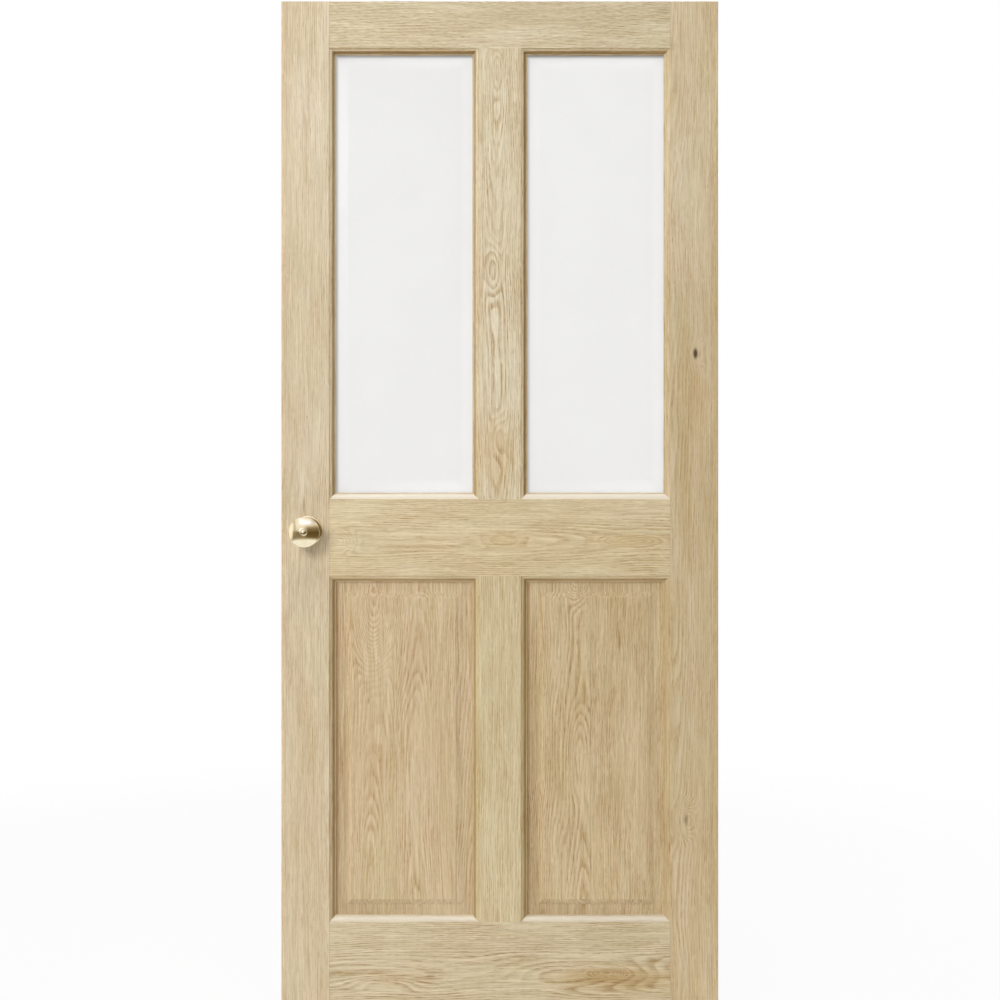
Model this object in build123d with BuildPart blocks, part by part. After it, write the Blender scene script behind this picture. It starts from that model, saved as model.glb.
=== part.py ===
"""A four panel door leaf in oak: two bevelled panes over two raised and fielded panels, with a turned knob.

Millimetres. The leaf is seen from its front: X runs to the right, Y from the front through to the back, Z up.
The origin is the middle of the hinge edge, which is the leaf's right edge, so the leaf lies on the -X side.
"""
from build123d import *
import os

# The leaf
leaf_width = 838.0
leaf_height = 1981.0
leaf_thickness = 35.0
arris_radius = 1.5

# Face widths of the members, up to where their mouldings begin
stile_width = 92.0
muntin_width = 81.0
top_rail_height = 90.0
lock_rail_height = 147.0
bottom_rail_height = 215.0
lower_opening_height = 664.0

# The ovolo moulding round every opening: a quirk below the face, a quarter round, and a fillet at the foot
quirk_depth = 2.2
quirk_width = 2.4
ovolo_radius = 7.0
fillet_width = 2.6
fillet_height = 0.8

# Blind tenons, as thick as the panel grooves
tenon_length = 58.0
tenon_inset = 16.0
muntin_tenon_length = 32.0
tenon_fit = 0.15
mortise_bottom_gap = 2.0

# Raised and fielded panels, loose in their grooves
panel_edge_gap = 2.0
panel_play = 0.2
panel_margin = 19.0
panel_bevel_width = 12.0
panel_rise = 3.5

# Bevelled panes, their bevel to the front, standing on two blocks each
glass_thickness = 4.0
glass_edge_gap = 3.0
glass_bevel_width = 34.0
glass_bevel_drop = 1.6
glass_seat_gap = 0.2
glass_block_length = 60.0
glass_block_fit = 0.1

# Glazing beads
bead_fit = 0.2
bead_mitre_gap = 0.1

# Rose and knob, measured outwards from the face of the leaf
knob_backset = 49.5
knob_above_rail_middle = 13.0
rose_diameter = 59.0
rose_height = 4.0
rose_bevel = 1.2
collar_diameter = 25.0
collar_height = 12.0
collar_bevel = 0.8
neck_diameter = 19.0
neck_fit = 0.08
neck_start = 1.5
throat_height = 40.5
throat_bevel = 6.0
knob_diameter = 58.0
knob_back_height = 47.5
knob_rim_height = 48.5
knob_rim_width = 4.0
knob_crown_height = 62.5
boss_diameter = 11.0
boss_height = 2.2
boss_bevel = 1.0
boss_groove_width = 1.0
boss_groove_depth = 0.8

# Spindle and the screws that hold the knobs on it
spindle_size = 8.0
spindle_fit = 0.05
spindle_bore_diameter = 22.0
spindle_reach = 36.0
socket_end_gap = 1.0
grub_diameter = 5.0
grub_height = 20.0
grub_fit = 0.1
grub_sink = 0.5
grub_key = 2.5
grub_key_depth = 2.0

# Worked out from the sizes above
left = -leaf_width
top = leaf_height / 2
bottom = -leaf_height / 2
moulding_width = quirk_width + ovolo_radius + fillet_width
moulding_depth = quirk_depth + ovolo_radius + fillet_height
groove_width = leaf_thickness - 2 * moulding_depth
between_stiles = leaf_width - 2 * stile_width
opening_width = (between_stiles - muntin_width) / 2
upper_opening_height = (
    leaf_height - top_rail_height - lock_rail_height - bottom_rail_height - lower_opening_height
)
centre_x = left + leaf_width / 2
left_opening_x = left + stile_width
right_opening_x = centre_x + muntin_width / 2
lower_opening_z = bottom + bottom_rail_height
lock_rail_z = lower_opening_z + lower_opening_height
upper_opening_z = lock_rail_z + lock_rail_height
top_rail_z = top - top_rail_height
knob_x = left + knob_backset
knob_z = lock_rail_z + lock_rail_height / 2 + knob_above_rail_middle


# Mitred runs of moulding and bead

# Each opening is kept by its lower left corner on the leaf's middle plane, and its width and height.
openings = {
    "upper_left": (left_opening_x, upper_opening_z, opening_width, upper_opening_height),
    "upper_right": (right_opening_x, upper_opening_z, opening_width, upper_opening_height),
    "lower_left": (left_opening_x, lower_opening_z, opening_width, lower_opening_height),
    "lower_right": (right_opening_x, lower_opening_z, opening_width, lower_opening_height),
}


def side_run(opening, side):
    """Start, direction and length of one side of an opening, going round it anticlockwise from the front."""
    x, z, width, height = openings[opening]
    return {
        "bottom": (Vector(x, 0, z), Vector(1, 0, 0), width),
        "right": (Vector(x + width, 0, z), Vector(0, 0, 1), height),
        "top": (Vector(x + width, 0, z + height), Vector(-1, 0, 0), width),
        "left": (Vector(x, 0, z + height), Vector(0, 0, -1), height),
    }[side]


def ovolo_section(depth, edge=0.0):
    """A moulding's section: across from the member's edge, and out from a depth in the leaf to its face."""
    quirk = leaf_thickness / 2 - quirk_depth
    foot = quirk - ovolo_radius
    with BuildSketch() as section:
        with BuildLine():
            Polyline((edge, depth), (edge, quirk), (quirk_width, quirk))
            CenterArc((quirk_width, foot), ovolo_radius, start_angle=0, arc_size=90)
            Polyline(
                (quirk_width + ovolo_radius, foot),
                (moulding_width, foot),
                (moulding_width, depth),
                (edge, depth),
            )
        make_face()
    return section.sketch


def mitred_run(opening, side, section, gap=0.0):
    """Carry a section along one side of an opening and cut both ends on the mitre."""
    start, along, length = side_run(opening, side)
    lay = Plane(origin=start, x_dir=along, z_dir=(0, -1, 0))
    across = Plane(origin=start, x_dir=lay.y_dir, z_dir=along)
    with BuildPart() as run:
        with BuildSketch(across):
            add(section)
        extrude(amount=length, dir=along)
        with BuildSketch(lay):
            with BuildLine():
                Polyline(
                    (gap, 0),
                    (length - gap, 0),
                    (length - gap - moulding_width, moulding_width),
                    (gap + moulding_width, moulding_width),
                    close=True,
                )
            make_face()
        extrude(amount=leaf_thickness, both=True, mode=Mode.INTERSECT)
    return run.part


front_moulding = ovolo_section(groove_width / 2)
with BuildSketch() as back_moulding_sketch:
    mirror(front_moulding, about=Plane.XZ)
back_moulding = back_moulding_sketch.sketch


def stuck_mouldings(*sides):
    """The mouldings run on one member: on the front of every opening, and on the back of a panelled one."""
    runs = []
    for opening, side in sides:
        runs.append(mitred_run(opening, side, front_moulding))
        if opening.startswith("lower"):
            runs.append(mitred_run(opening, side, back_moulding))
    return runs


# Stiles

rail_levels = {
    "bottom": (bottom, bottom_rail_height),
    "lock": (lock_rail_z, lock_rail_height),
    "top": (top_rail_z, top_rail_height),
}


def stile(outer_x, towards, runs):
    """One stile, its outer edge at outer_x, mortised for the rails on the side that towards points to."""
    mortise_depth = tenon_length + mortise_bottom_gap
    mortise_x = outer_x + towards * (stile_width - mortise_depth / 2)
    with BuildPart() as piece:
        with Locations((outer_x + towards * stile_width / 2, 0, 0)):
            Box(stile_width, leaf_thickness, leaf_height)
        uprights = piece.edges().filter_by(Axis.Z).sort_by(Axis.X)
        outer = uprights[:2] if towards > 0 else uprights[-2:]
        ends = piece.edges().filter_by(Axis.X)
        fillet(list(outer) + list(ends), arris_radius)
        add(runs)
        for level, height in rail_levels.values():
            with Locations((mortise_x, 0, level + height / 2)):
                Box(
                    mortise_depth,
                    groove_width + 2 * tenon_fit,
                    height - 2 * tenon_inset + 2 * tenon_fit,
                    mode=Mode.SUBTRACT,
                )
    return piece


def bored(blank):
    """The same piece with the spindle's bore cut through it, as stile and tenon are bored together."""
    with BuildPart() as piece:
        add(blank.part)
        with BuildSketch(Plane(origin=(knob_x, 0, knob_z), z_dir=(0, -1, 0))):
            Circle(spindle_bore_diameter / 2)
        extrude(amount=leaf_thickness, both=True, mode=Mode.SUBTRACT)
    return piece


hinge_stile = stile(0.0, -1, stuck_mouldings(("upper_right", "right"), ("lower_right", "right")))
lock_stile = bored(stile(left, 1, stuck_mouldings(("upper_left", "left"), ("lower_left", "left"))))


# Rails


def rail(level, height, runs, muntin_above, muntin_below):
    """One rail between the stiles, tenoned at both ends and mortised for the muntins it carries."""
    with BuildPart() as piece:
        with Locations((centre_x, 0, level + height / 2)):
            Box(between_stiles, leaf_thickness, height)
        lengthways = piece.edges().filter_by(Axis.X).sort_by(Axis.Z)
        if not muntin_above:
            fillet(lengthways[-2:], arris_radius)
        if not muntin_below:
            fillet(lengthways[:2], arris_radius)
        with Locations((centre_x, 0, level + height / 2)):
            Box(between_stiles + 2 * tenon_length, groove_width, height - 2 * tenon_inset)
        add(runs)
        mortise_depth = muntin_tenon_length + mortise_bottom_gap
        mortises = []
        if muntin_above:
            mortises.append((centre_x, 0, level + height - mortise_depth / 2))
        if muntin_below:
            mortises.append((centre_x, 0, level + mortise_depth / 2))
        with Locations(*mortises):
            Box(
                muntin_width - 2 * tenon_inset + 2 * tenon_fit,
                groove_width + 2 * tenon_fit,
                mortise_depth,
                mode=Mode.SUBTRACT,
            )
    return piece


top_rail = rail(
    *rail_levels["top"],
    stuck_mouldings(("upper_left", "top"), ("upper_right", "top")),
    muntin_above=False,
    muntin_below=True,
)
lock_rail_mouldings = stuck_mouldings(
    ("upper_left", "bottom"),
    ("upper_right", "bottom"),
    ("lower_left", "top"),
    ("lower_right", "top"),
)
lock_rail = bored(
    rail(*rail_levels["lock"], lock_rail_mouldings, muntin_above=True, muntin_below=True)
)
bottom_rail = rail(
    *rail_levels["bottom"],
    stuck_mouldings(("lower_left", "bottom"), ("lower_right", "bottom")),
    muntin_above=True,
    muntin_below=False,
)


# Muntins


def muntin(level, height, runs):
    """One muntin between two rails, with a stub tenon at each end."""
    with BuildPart() as piece:
        with Locations((centre_x, 0, level + height / 2)):
            Box(muntin_width, leaf_thickness, height)
            Box(
                muntin_width - 2 * tenon_inset,
                groove_width,
                height + 2 * muntin_tenon_length,
            )
        add(runs)
    return piece


upper_muntin = muntin(
    upper_opening_z,
    upper_opening_height,
    stuck_mouldings(("upper_left", "right"), ("upper_right", "left")),
)
lower_muntin = muntin(
    lower_opening_z,
    lower_opening_height,
    stuck_mouldings(("lower_left", "right"), ("lower_right", "left")),
)


# Raised and fielded panels


def fielded_panel(opening):
    """A panel with a flat margin, a bevel and a raised field on both faces, its tongue in the grooves."""
    x, z, width, height = openings[opening]
    centre = Vector(x + width / 2, 0, z + height / 2)
    tongue = groove_width - 2 * panel_play
    foot_inset = moulding_width + panel_margin
    field_inset = foot_inset + panel_bevel_width
    with BuildPart() as piece:
        with Locations(centre):
            Box(width - 2 * panel_edge_gap, tongue, height - 2 * panel_edge_gap)
        for outwards in (-1, 1):
            facing = Plane(origin=centre, x_dir=(1, 0, 0), z_dir=(0, outwards, 0))
            with BuildSketch(facing.offset(tongue / 2)) as foot:
                Rectangle(width - 2 * foot_inset, height - 2 * foot_inset)
            with BuildSketch(facing.offset(tongue / 2 + panel_rise)) as field:
                Rectangle(width - 2 * field_inset, height - 2 * field_inset)
            loft([foot.sketch, field.sketch])
    return piece


lower_panel_left = fielded_panel("lower_left")
lower_panel_right = fielded_panel("lower_right")


# Bevelled panes

# The pane is set so that its bevel clears the back of the moulding by the seat gap at the sight line.
bevel_at_sight = glass_bevel_drop * (
    1 - (moulding_width - glass_edge_gap) / glass_bevel_width
)
glass_front = glass_seat_gap - groove_width / 2 - bevel_at_sight
glass_back = glass_front + glass_thickness
bead_depth = glass_back + glass_seat_gap


def bevelled_pane(opening):
    """A pane with a flat back and a shallow bevel all round its front."""
    x, z, width, height = openings[opening]
    facing = Plane(
        origin=(x + width / 2, glass_back, z + height / 2), x_dir=(1, 0, 0), z_dir=(0, -1, 0)
    )
    pane_width = width - 2 * glass_edge_gap
    pane_height = height - 2 * glass_edge_gap
    rim = glass_thickness - glass_bevel_drop
    with BuildPart() as piece:
        with BuildSketch(facing):
            Rectangle(pane_width, pane_height)
        extrude(amount=rim)
        with BuildSketch(facing.offset(rim)) as edge:
            Rectangle(pane_width, pane_height)
        with BuildSketch(facing.offset(glass_thickness)) as flat:
            Rectangle(pane_width - 2 * glass_bevel_width, pane_height - 2 * glass_bevel_width)
        loft([edge.sketch, flat.sketch])
    return piece


glass_left = bevelled_pane("upper_left")
glass_right = bevelled_pane("upper_right")


def setting_blocks(opening):
    """Two blocks in the foot of the rebate, a quarter of the width in from each side, under the pane."""
    x, z, width, height = openings[opening]
    block_height = glass_edge_gap - glass_block_fit
    block_width = bead_depth + groove_width / 2 - 2 * glass_block_fit
    middle = (bead_depth - groove_width / 2) / 2
    with BuildPart() as piece:
        with Locations(
            (x + width / 4, middle, z + block_height / 2),
            (x + width * 3 / 4, middle, z + block_height / 2),
        ):
            Box(glass_block_length, block_width, block_height)
    return piece


glass_blocks_left = setting_blocks("upper_left")
glass_blocks_right = setting_blocks("upper_right")


# Glazing beads

# A bead has the moulding's own shape at the back face and runs on down to the pane.
with BuildSketch() as bead_sketch:
    mirror(ovolo_section(bead_depth, bead_fit), about=Plane.XZ)
bead_section = bead_sketch.sketch

bead_sides = {
    "left": {"top": "top", "bottom": "bottom", "lock_side": "left", "muntin_side": "right"},
    "right": {"top": "top", "bottom": "bottom", "muntin_side": "left", "hinge_side": "right"},
}


def bead(pane, side):
    """One bead behind a pane, mitred at both ends and clear of the rebate by its fit."""
    with BuildPart() as piece:
        add(mitred_run(f"upper_{pane}", side, bead_section, bead_mitre_gap))
    return piece


# Roses, knobs and spindle


def furniture_plane(outwards):
    """Radius to the right and height off the leaf upwards, for the front (-1) or the back (1)."""
    return Plane(
        origin=(knob_x, outwards * leaf_thickness / 2, knob_z),
        x_dir=(1, 0, 0),
        z_dir=(0, 0, outwards),
    )


def turning_axis(outwards):
    """The line that the roses and knobs are turned about."""
    return Axis((knob_x, outwards * leaf_thickness / 2, knob_z), (0, outwards, 0))


def turned(outwards, *outline):
    """The solid of a closed outline, given as radius and height, turned about the roses' and knobs' axis."""
    with BuildPart() as solid:
        with BuildSketch(furniture_plane(outwards)):
            with BuildLine():
                Polyline(*outline, close=True)
            make_face()
        revolve(axis=turning_axis(outwards))
    return solid.part


def rose(outwards):
    """A round rose with a bevelled edge and a collar that the knob's neck turns in."""
    rim = rose_diameter / 2
    collar = collar_diameter / 2
    bore = neck_diameter / 2 + neck_fit
    with BuildPart() as piece:
        add(
            turned(
                outwards,
                (rim, 0),
                (rim, rose_height - rose_bevel),
                (rim - rose_bevel, rose_height),
                (collar, rose_height),
                (collar, collar_height - collar_bevel),
                (collar - collar_bevel, collar_height),
                (bore, collar_height),
                (bore, 0),
            )
        )
    return piece


def knob(outwards):
    """A turned mushroom knob: a neck, a domed head with a small boss, and a square socket for the spindle."""
    neck = neck_diameter / 2
    rim = knob_diameter / 2
    boss = boss_diameter / 2
    rim_top = knob_rim_height + knob_rim_width
    dome_rise = knob_crown_height - rim_top
    dome_radius = (rim**2 + dome_rise**2) / (2 * dome_rise)
    groove_foot = knob_crown_height - boss_groove_depth
    boss_top = knob_crown_height + boss_height
    face = Plane(
        origin=furniture_plane(outwards).origin, x_dir=(1, 0, 0), z_dir=(0, outwards, 0)
    )
    blank = turned(
        outwards,
        (0, neck_start),
        (neck, neck_start),
        (neck, throat_height),
        (neck + throat_bevel, knob_back_height),
        (rim - knob_rim_height + knob_back_height, knob_back_height),
        (rim, knob_rim_height),
        (rim, knob_crown_height),
        (0, knob_crown_height),
    )
    groove = turned(
        outwards,
        (boss, groove_foot),
        (boss + boss_groove_width, groove_foot),
        (boss + boss_groove_width, knob_crown_height),
        (boss, knob_crown_height),
    )
    button = turned(
        outwards,
        (0, groove_foot),
        (boss, groove_foot),
        (boss, boss_top - boss_bevel),
        (boss - boss_bevel, boss_top),
        (0, boss_top),
    )
    with BuildPart() as piece:
        add(blank)
        with Locations(face.offset(knob_crown_height - dome_radius).origin):
            Sphere(dome_radius, rotation=(0, 90, 0), mode=Mode.INTERSECT)
        add(groove, mode=Mode.SUBTRACT)
        add(button)
        with BuildSketch(face.offset(neck_start)):
            Rectangle(spindle_size + 2 * spindle_fit, spindle_size + 2 * spindle_fit)
        extrude(amount=spindle_reach + socket_end_gap - neck_start, mode=Mode.SUBTRACT)
        with BuildSketch(grub_plane(outwards)):
            Circle(grub_diameter / 2)
        extrude(amount=neck_diameter, mode=Mode.SUBTRACT)
    return piece


def grub_plane(outwards):
    """Square to the screw that runs from the spindle's axis down through the neck."""
    return Plane(
        origin=(knob_x, outwards * (leaf_thickness / 2 + grub_height), knob_z),
        x_dir=(1, 0, 0),
        z_dir=(0, 0, -1),
    )


def grub_screw(outwards):
    """A headless screw with a hexagon socket, between the spindle's flat and the neck's surface."""
    inner = spindle_size / 2 + spindle_fit
    outer = neck_diameter / 2 - grub_sink
    with BuildPart() as piece:
        with BuildSketch(grub_plane(outwards).offset(inner)):
            Circle(grub_diameter / 2 - grub_fit)
        extrude(amount=outer - inner)
        with BuildSketch(grub_plane(outwards).offset(outer)):
            RegularPolygon(grub_key / 2, 6, major_radius=False)
        extrude(amount=-grub_key_depth, mode=Mode.SUBTRACT)
    return piece


with BuildPart() as spindle:
    with Locations((knob_x, 0, knob_z)):
        Box(spindle_size, leaf_thickness + 2 * spindle_reach, spindle_size)


# Write every piece to its own file

pieces = {
    "lock_stile": lock_stile,
    "hinge_stile": hinge_stile,
    "top_rail": top_rail,
    "lock_rail": lock_rail,
    "bottom_rail": bottom_rail,
    "upper_muntin": upper_muntin,
    "lower_muntin": lower_muntin,
    "lower_panel_left": lower_panel_left,
    "lower_panel_right": lower_panel_right,
    "glass_left": glass_left,
    "glass_right": glass_right,
    "glass_blocks_left": glass_blocks_left,
    "glass_blocks_right": glass_blocks_right,
    "spindle": spindle,
}
for pane, sides in bead_sides.items():
    for name, side in sides.items():
        pieces[f"bead_{pane}_{name}"] = bead(pane, side)
for face, outwards in {"front": -1, "back": 1}.items():
    pieces[f"rose_{face}"] = rose(outwards)
    pieces[f"knob_{face}"] = knob(outwards)
    pieces[f"grub_screw_{face}"] = grub_screw(outwards)

os.makedirs("parts", exist_ok=True)
for name, piece in pieces.items():
    piece.part.label = name
    export_step(piece.part, f"parts/{name}.step")
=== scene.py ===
"""A Victorian four panel door leaf in pale oak, with two bevelled satin panes and polished brass knobs.

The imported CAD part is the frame: its wooden members, panels, beads and panes are shown as they are and get
their finishes here. The turned brassware is shown by finer surfaces that take the CAD pieces' place.
Metres. The origin is the middle of the hinge edge, the leaf lies on the -X side, its front faces -Y and Z
is up.
"""

import math

import bmesh
import bpy
import numpy as np
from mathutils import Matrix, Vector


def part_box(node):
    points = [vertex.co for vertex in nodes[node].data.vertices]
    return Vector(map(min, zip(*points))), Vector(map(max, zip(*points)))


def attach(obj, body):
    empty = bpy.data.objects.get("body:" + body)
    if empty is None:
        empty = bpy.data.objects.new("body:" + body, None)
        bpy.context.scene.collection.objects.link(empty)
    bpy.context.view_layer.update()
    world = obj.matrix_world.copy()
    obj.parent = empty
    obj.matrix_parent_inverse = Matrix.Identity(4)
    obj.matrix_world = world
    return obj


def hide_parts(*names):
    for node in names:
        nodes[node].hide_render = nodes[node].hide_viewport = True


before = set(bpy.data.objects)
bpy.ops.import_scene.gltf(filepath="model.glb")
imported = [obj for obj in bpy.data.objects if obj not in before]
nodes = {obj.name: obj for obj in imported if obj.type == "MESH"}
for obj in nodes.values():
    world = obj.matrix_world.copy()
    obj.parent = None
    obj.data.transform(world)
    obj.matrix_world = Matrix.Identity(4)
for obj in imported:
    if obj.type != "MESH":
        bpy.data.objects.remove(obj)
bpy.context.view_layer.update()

# The leaf's own lines, taken from the CAD pieces
lock_stile_lo, lock_stile_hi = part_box("lock_stile")
hinge_stile_lo, hinge_stile_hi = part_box("hinge_stile")
lock_rail_lo, lock_rail_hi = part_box("lock_rail")
rose_lo, rose_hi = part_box("rose_front")
knob_lo, knob_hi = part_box("knob_front")
grub_lo, grub_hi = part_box("grub_screw_front")
LEFT, RIGHT = lock_stile_lo.x, hinge_stile_hi.x
TOP, BOTTOM = lock_stile_hi.z, lock_stile_lo.z
HALF = hinge_stile_hi.y
MUNTIN_MIDDLE = (LEFT + RIGHT) / 2
LOCK_RAIL_MIDDLE = (lock_rail_lo.z + lock_rail_hi.z) / 2
KNOB_X = (rose_lo.x + rose_hi.x) / 2
KNOB_Z = (rose_lo.z + rose_hi.z) / 2

# The moulding's width, and how far its quirk and the foot of its quarter round stand back from the face
MOULDING = 0.012
QUIRK = 0.0022
OVOLO_FOOT = 0.0092

# Where the rails' shoulders close on the stiles
LOCK_SHOULDER = lock_stile_hi.x - MOULDING
HINGE_SHOULDER = hinge_stile_lo.x + MOULDING

# From an opening's edge to its panel, and from the panel's edge to the foot of its bevel
PANEL_GAP = 0.002
PANEL_FOOT = 0.029

# From an opening's edge to its pane, and from the pane's edge to the inner line of its bevel
PANE_GAP = 0.003
PANE_BEVEL = 0.034

# A band along the leaf's own edges that carries no moulding
EDGE_BAND = 0.05


# Finishes: a small helper that lays out shader nodes


class Finish:
    """A material, or the world, under construction. Most methods add a shader node and give its output."""

    def __init__(self, name, owner=None):
        self.material = owner or bpy.data.materials.new(name)
        self.material.use_nodes = True
        self.tree = self.material.node_tree
        self.tree.nodes.clear()
        self.count = 0

    def node(self, kind, **settings):
        made = self.tree.nodes.new(kind)
        made.location = (220 * (self.count % 12), -240 * (self.count // 12))
        self.count += 1
        for key, value in settings.items():
            setattr(made, key, value)
        return made

    def plug(self, socket, value):
        """Link a socket to another node's output, or set it to a constant."""
        if isinstance(value, bpy.types.NodeSocket):
            self.tree.links.new(value, socket)
        elif value is not None:
            socket.default_value = value

    def math(self, operation, a, b=None, c=None, clamp=False):
        made = self.node("ShaderNodeMath", operation=operation, use_clamp=clamp)
        for socket, value in zip(made.inputs, (a, b, c)):
            self.plug(socket, value)
        return made.outputs[0]

    def times(self, value, *factors, clamp=False):
        """The product of all the values, at the end held between 0 and 1 where clamp is set."""
        for factor in factors[:-1]:
            value = self.math("MULTIPLY", value, factor)
        return self.math("MULTIPLY", value, factors[-1], clamp=clamp)

    def inward(self, value, low, high):
        """How far a value lies inside two limits, from the nearer one."""
        return self.math(
            "MINIMUM", self.math("SUBTRACT", value, low), self.math("SUBTRACT", high, value)
        )

    def coordinates(self):
        """Object coordinates, whole and split into x, y and z."""
        place = self.node("ShaderNodeTexCoord").outputs["Object"]
        split = self.node("ShaderNodeSeparateXYZ")
        self.plug(split.inputs[0], place)
        return place, *split.outputs

    def vector(self, x, y, z):
        made = self.node("ShaderNodeCombineXYZ")
        for socket, value in zip(made.inputs, (x, y, z)):
            self.plug(socket, value)
        return made.outputs[0]

    def length(self, x, y, z):
        made = self.node("ShaderNodeVectorMath", operation="LENGTH")
        self.plug(made.inputs[0], self.vector(x, y, z))
        return made.outputs["Value"]

    def noise(self, place, scale=None, shift=(0.0, 0.0, 0.0), detail=2.0, roughness=0.5):
        """Fractal noise, with scale cells to the metre on each axis and moved along by shift."""
        if scale is not None:
            mapping = self.node("ShaderNodeMapping")
            self.plug(mapping.inputs["Vector"], place)
            mapping.inputs["Scale"].default_value = scale
            mapping.inputs["Location"].default_value = shift
            place = mapping.outputs[0]
        made = self.node("ShaderNodeTexNoise", noise_dimensions="3D")
        self.plug(made.inputs["Vector"], place)
        made.inputs["Scale"].default_value = 1.0
        made.inputs["Detail"].default_value = detail
        made.inputs["Roughness"].default_value = roughness
        return made.outputs["Fac"]

    def rise(self, value, start, end, low=0.0, high=1.0, smooth=True):
        """A ramp of value: low up to start, high from end on."""
        made = self.node(
            "ShaderNodeMapRange", interpolation_type="SMOOTHSTEP" if smooth else "LINEAR"
        )
        made.clamp = True
        for name, number in (
            ("Value", value),
            ("From Min", start),
            ("From Max", end),
            ("To Min", low),
            ("To Max", high),
        ):
            self.plug(made.inputs[name], number)
        return made.outputs["Result"]

    def near(self, value, centre, reach):
        """One on a line at centre, falling to nothing at the given reach on either side."""
        away = self.math("ABSOLUTE", self.math("SUBTRACT", value, centre))
        return self.rise(away, 0.0, reach, 1.0, 0.0)

    def mix(self, factor, a, b, blend="MIX"):
        made = self.node("ShaderNodeMix", data_type="RGBA", blend_type=blend)
        self.plug(made.inputs[0], factor)
        self.plug(made.inputs[6], a)
        self.plug(made.inputs[7], b)
        return made.outputs[2]

    def tinted(self, colour, factor, tint):
        """A colour multiplied by a tint as far as factor says."""
        return self.mix(factor, colour, self.mix(1.0, colour, (*tint, 1.0), "MULTIPLY"))

    def bump(self, height, strength, distance):
        made = self.node("ShaderNodeBump")
        self.plug(made.inputs["Height"], height)
        made.inputs["Strength"].default_value = strength
        made.inputs["Distance"].default_value = distance
        return made.outputs[0]

    def shader(self, **sockets):
        made = self.node("ShaderNodeBsdfPrincipled")
        for name, value in sockets.items():
            self.plug(made.inputs[name.replace("_", " ")], value)
        return made.outputs[0]

    def blend(self, factor, a, b):
        """Two shaders mixed: a where factor is 0, b where it is 1."""
        made = self.node("ShaderNodeMixShader")
        for socket, value in zip(made.inputs, (factor, a, b)):
            self.plug(socket, value)
        return made.outputs[0]

    def see_through(self, colour=(1.0, 1.0, 1.0, 1.0)):
        made = self.node("ShaderNodeBsdfTransparent")
        made.inputs[0].default_value = colour
        return made.outputs[0]

    def output(self, surface):
        made = self.node("ShaderNodeOutputMaterial")
        self.plug(made.inputs["Surface"], surface)
        return self.material


def tone(red, green, blue):
    """A colour given as it looks on a screen, turned into the linear light that a shader takes."""
    channels = np.array((red, green, blue)) / 255.0
    linear = np.where(channels <= 0.04045, channels / 12.92, ((channels + 0.055) / 1.055) ** 2.4)
    return (*linear.tolist(), 1.0)


# Oak


def moulded(f, colour, across, x, z, back, middle, painted_shade, low_darkening, painted_highlight):
    """Painted light and shade on a member's mouldings, which stand back from its faces.

    Its last three arguments set the painted shade on the set-back moulding, deepest and brown on its
    steep part; a darker, browner tone there below the knob; and a painted highlight that lifts the ledges
    that look up toward cream. Each has one strength for the member's low edge and one for its high edge,
    told apart by middle.
    """
    inside = f.times(
        f.rise(f.inward(x, LEFT, RIGHT), EDGE_BAND, EDGE_BAND + 0.01),
        f.rise(f.inward(z, BOTTOM, TOP), EDGE_BAND, EDGE_BAND + 0.01),
    )
    upper = f.rise(across, middle - 0.01, middle + 0.01)

    def by_edge(low_edge, high_edge):
        return f.math("MULTIPLY_ADD", upper, high_edge - low_edge, low_edge)

    shade_strength = by_edge(*painted_shade)
    low = f.times(by_edge(*low_darkening), f.rise(z, KNOB_Z - 0.08, KNOB_Z - 0.04, 1.0, 0.0))
    highlight_strength = f.times(
        by_edge(*painted_highlight), f.rise(back, OVOLO_FOOT - 0.0006, OVOLO_FOOT - 0.0001, 1.0, 0.25)
    )
    set_back = f.times(f.rise(back, QUIRK - 0.0010, QUIRK), inside)
    steep = f.times(
        f.rise(back, QUIRK + 0.0001, QUIRK + 0.0011),
        f.rise(back, OVOLO_FOOT - 0.0030, OVOLO_FOOT - 0.0006, 1.0, 0.25),
        inside,
        f.math("MULTIPLY_ADD", low, -0.5, 1.0),
    )
    # Darker and browner on the set-back moulding below the knob, where the steep part's painted shade is
    # halved
    colour = f.tinted(colour, f.times(set_back, low), (0.76, 0.68, 0.53))
    # Painted shade: the set-back moulding a little darker, and brown on its steep part
    colour = f.tinted(colour, f.times(set_back, shade_strength, clamp=True), (0.975, 0.945, 0.88))
    colour = f.tinted(colour, f.times(steep, shade_strength, clamp=True), (0.50, 0.36, 0.16))
    # Painted highlight: ledges that look up lifted toward pale cream, less on the fillet at the moulding's
    # foot
    return f.mix(f.times(set_back, highlight_strength, clamp=True), colour, tone(250, 243, 230))


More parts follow.
